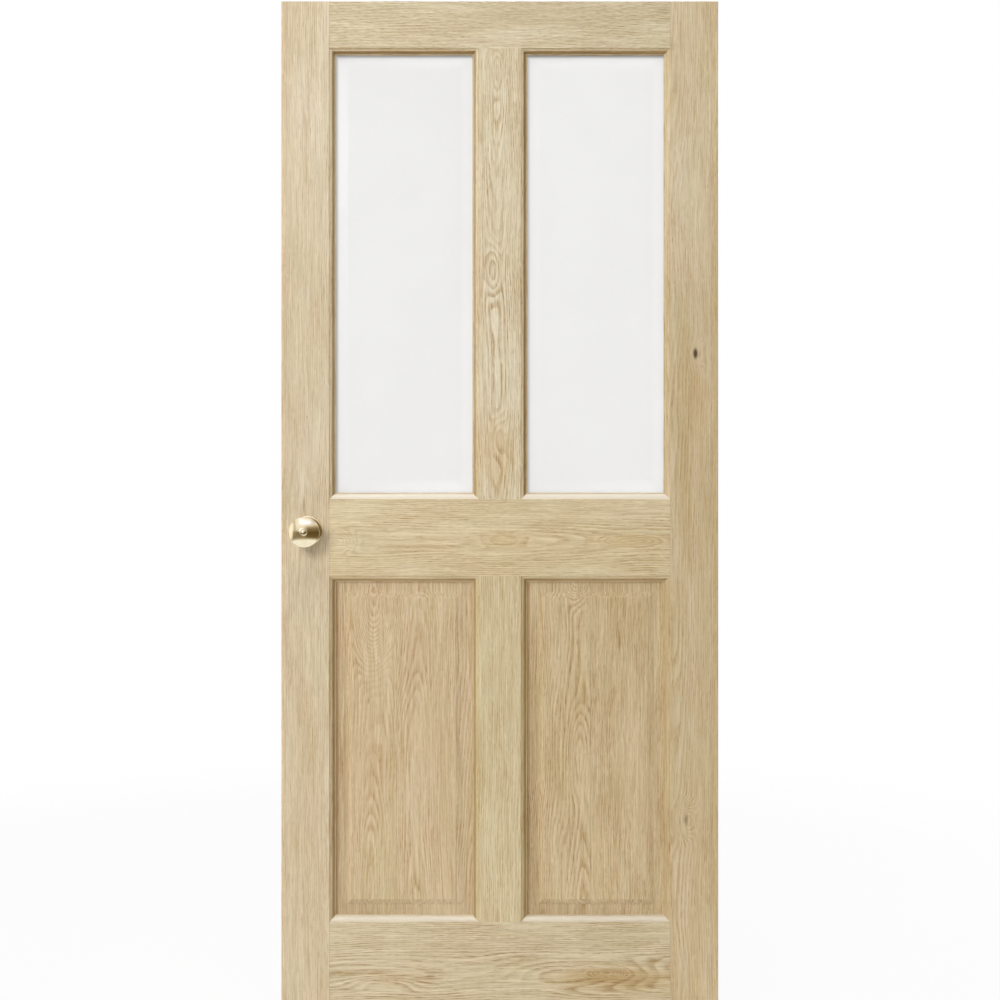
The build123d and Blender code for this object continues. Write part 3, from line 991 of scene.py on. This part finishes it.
def plain(name, colour, camera_white):
    """The floor's finish: soft pale paint, which the camera, the glass and the brass see lifted to white.

    It fades out at its rim. For a mirrored ray it is smaller, and lies round the knob.
    """
    f = Finish(name)
    place, x, y, _ = f.coordinates()
    cloud = f.noise(place, (2.0, 2.0, 2.0))
    paint = f.shader(
        Base_Color=f.mix(f.rise(cloud, 0.3, 0.7), (*colour, 1.0), (*(0.985 * c for c in colour), 1.0)),
        Roughness=0.8,
    )
    white = f.node("ShaderNodeEmission")
    white.inputs[0].default_value = (1.0, 1.0, 1.0, 1.0)
    path = f.node("ShaderNodeLightPath").outputs
    mirrored = path["Is Glossy Ray"]
    seen = f.math("MAXIMUM", path["Is Camera Ray"], path["Is Transmission Ray"])
    lift = f.math("MULTIPLY_ADD", mirrored, 0.95, f.times(seen, camera_white))
    aside = f.math("MULTIPLY_ADD", mirrored, 0.37, f.math("SUBTRACT", x, MUNTIN_MIDDLE))
    rim = f.rise(
        f.length(aside, y, 0.0),
        f.rise(mirrored, 0.0, 1.0, 1.9, 1.2),
        f.rise(mirrored, 0.0, 1.0, 3.0, 1.7),
    )
    return f.output(f.blend(rim, f.blend(lift, paint, white.outputs[0]), f.see_through()))


def disc(name, centre, radius, level, segments=96):
    """A flat disc: points at equal angles round a centre, one face."""
    angle = np.linspace(0.0, 2 * np.pi, segments, endpoint=False)
    points = np.stack(
        (
            centre[0] + radius * np.cos(angle),
            centre[1] + radius * np.sin(angle),
            np.full(segments, level),
        ),
        axis=1,
    )
    mesh = bpy.data.meshes.new(name)
    mesh.from_pydata(points.tolist(), [], [list(range(segments))])
    made = bpy.data.objects.new(name, mesh)
    bpy.context.scene.collection.objects.link(made)
    return made


floor = disc("studio_floor", (MUNTIN_MIDDLE, 0.0), 3.1, BOTTOM)
floor.data.materials.append(plain("floor_paint", (0.9, 0.9, 0.895), 0.93))


def softbox(name, at, size, power, colour=(1.0, 1.0, 1.0), mirrored=True):
    """A wide soft light at a point, turned to face the leaf, which polished metal may show or not."""
    lamp = bpy.data.lights.new(name, "AREA")
    lamp.shape = "RECTANGLE"
    lamp.size, lamp.size_y = size
    lamp.energy = power
    lamp.color = colour
    made = bpy.data.objects.new(name, lamp)
    made.visible_glossy = mirrored
    bpy.context.scene.collection.objects.link(made)
    made.location = at
    back = np.array(at) - (MUNTIN_MIDDLE, 0.0, 0.05)
    made.rotation_euler = (
        math.atan2(math.hypot(back[0], back[1]), back[2]),
        0.0,
        math.atan2(back[0], -back[1]),
    )


warm_white = (1.0, 0.99, 0.97)
softbox("key_light", (-1.97, -3.83, 1.56), (1.5, 1.2), 84.0, warm_white, mirrored=False)
softbox("top_light", (-1.15, -2.72, 5.35), (4.0, 2.4), 126.0, mirrored=False)
softbox("left_light", (-5.05, -1.70, 0.92), (1.4, 2.4), 60.0, warm_white, mirrored=False)
softbox("back_light", (3.1, 3.4, 1.4), (2.4, 1.8), 110.0)


def studio(world):
    """White where the camera or glass looks past the door, a soft dome for the wood, a room for the brass.

    The room is a shade for every height of a mirrored ray: a dark middle, paler on the left, with light
    from above, a pale strip at the far left and one small bright spot beside the camera.
    """
    f = Finish("studio", world)
    split = f.node("ShaderNodeSeparateXYZ")
    f.plug(split.inputs[0], f.node("ShaderNodeTexCoord").outputs["Generated"])
    x, _, z = split.outputs

    # The room's shades from the floor to the ceiling, left and right of the camera
    bright = (1.25, 1.33, 1.75)
    left_side = (
        (0.22, (0.46, 0.38, 0.27)),
        (0.32, (0.27, 0.215, 0.145)),
        (0.46, (0.24, 0.185, 0.12)),
        (0.58, (0.86, 0.81, 0.78)),
        (0.74, (1.0, 0.95, 0.92)),
        (0.80, bright),
        (0.90, bright),
        (0.96, (1.0, 0.94, 0.86)),
    )
    right_side = (
        (0.22, (0.40, 0.32, 0.22)),
        (0.31, (0.15, 0.10, 0.045)),
        (0.46, (0.12, 0.075, 0.027)),
        (0.59, (0.21, 0.158, 0.088)),
        (0.67, (0.385, 0.295, 0.197)),
        (0.745, (0.86, 0.79, 0.72)),
        (0.82, bright),
        (0.96, (0.95, 0.88, 0.79)),
    )
    ramps = []
    for stops in (left_side, right_side):
        ramp = f.node("ShaderNodeValToRGB")
        ramp.color_ramp.interpolation = "EASE"
        while len(ramp.color_ramp.elements) < len(stops):
            ramp.color_ramp.elements.new(0.5)
        for stop, (at, value) in zip(ramp.color_ramp.elements, stops):
            stop.position = at
            stop.color = (*value, 1.0)
        f.plug(ramp.inputs[0], f.rise(z, -1.0, 1.0, smooth=False))
        ramps.append(ramp.outputs[0])
    room = f.mix(f.rise(x, -0.2, 0.3), *ramps)

    # Cream walls high up at both sides, a dim upper right corner, and a seam beside the pale strip
    aside = f.math("MAXIMUM", f.rise(x, -0.62, -0.3, 1.0, 0.0), f.rise(x, 0.6, 0.8))
    room = f.mix(f.times(aside, f.rise(z, 0.4, 0.6)), room, (0.98, 0.92, 0.84, 1.0))
    corner = f.times(f.rise(x, 0.22, 0.65), f.rise(z, 0.35, 0.8, 0.0, 0.9))
    room = f.mix(corner, room, (0.46, 0.37, 0.24, 1.0))
    seam = f.times(f.near(x, -0.74, 0.10), f.rise(z, -0.35, -0.1), 0.7)
    room = f.mix(seam, room, (0.42, 0.34, 0.22, 1.0))
    strip = f.times(f.rise(x, -0.9, -0.8, 1.0, 0.0), f.rise(z, -0.7, -0.4))
    room = f.mix(strip, room, (1.12, 1.06, 0.98, 1.0))
    spot = f.length(f.math("ADD", x, 0.27), f.math("ADD", z, -0.10), 0.0)
    room = f.mix(f.rise(spot, 0.08, 0.22, 1.0, 0.0), room, (2.0, 2.0, 2.15, 1.0))

    path = f.node("ShaderNodeLightPath").outputs
    dome, mirrored, white = (f.node("ShaderNodeBackground") for _ in range(3))
    f.plug(dome.inputs["Strength"], f.rise(z, -0.4, 1.0, 0.12, 0.26, smooth=False))
    f.plug(mirrored.inputs["Color"], room)
    f.plug(white.inputs["Color"], (1.0, 1.0, 1.0, 1.0))
    surroundings = f.blend(path["Is Glossy Ray"], dome.outputs[0], mirrored.outputs[0])
    seen = f.math("MAXIMUM", path["Is Camera Ray"], path["Is Transmission Ray"])
    backdrop = f.blend(seen, surroundings, white.outputs[0])
    f.plug(f.node("ShaderNodeOutputWorld").inputs[0], backdrop)


bpy.context.scene.world = bpy.data.worlds.new("studio")
studio(bpy.context.scene.world)

# The camera stands square to the leaf, low enough that the foot falls below the picture's edge
eye = bpy.data.cameras.new("camera")
eye.sensor_width = 36.0
eye.lens = 61.95
eye.shift_y = -0.06
camera = bpy.data.objects.new("camera", eye)
bpy.context.scene.collection.objects.link(camera)
camera.location = (-0.4186, -3.3175, 0.149)
camera.rotation_euler = (math.pi / 2, 0.0, 0.0)
bpy.context.scene.camera = camera
bpy.context.scene.view_settings.view_transform = "Standard"
